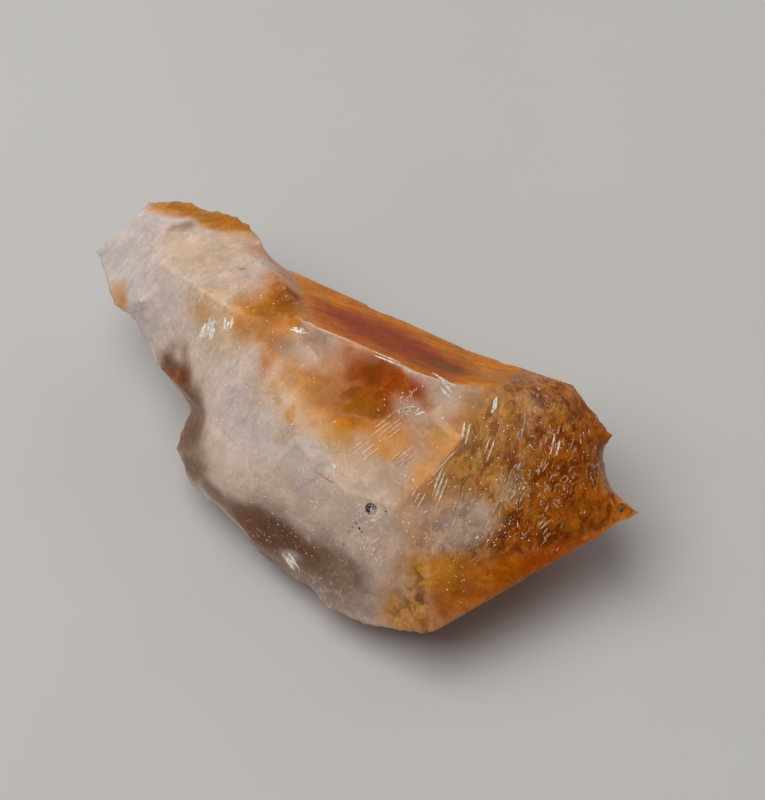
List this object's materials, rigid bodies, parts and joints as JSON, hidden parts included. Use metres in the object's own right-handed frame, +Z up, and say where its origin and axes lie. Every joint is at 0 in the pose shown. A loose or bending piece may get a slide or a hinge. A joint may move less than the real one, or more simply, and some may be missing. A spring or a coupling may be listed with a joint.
{
  "type": "citrine crystal point",
  "caption": "Broken see-through quartz crystal point with a milky fractured side, an amber termination and one smooth prism side, lying on a flat break.",
  "frame": {"origin": "centre of the bounding box at the height of the face that the crystal rests on", "axes": "+X along the crystal's long side, from the broken root to the termination; +Y to the smooth prism side; +Z up"},
  "size_m": [0.0542, 0.0254, 0.0206],
  "materials": {
    "citrine": "natural quartz, glossy on growth faces and satin on breaks, milky near the root and amber at the termination"
  },
  "bodies": {
    "root": {"citrine_point": "citrine"}
  },
  "joints": []
}
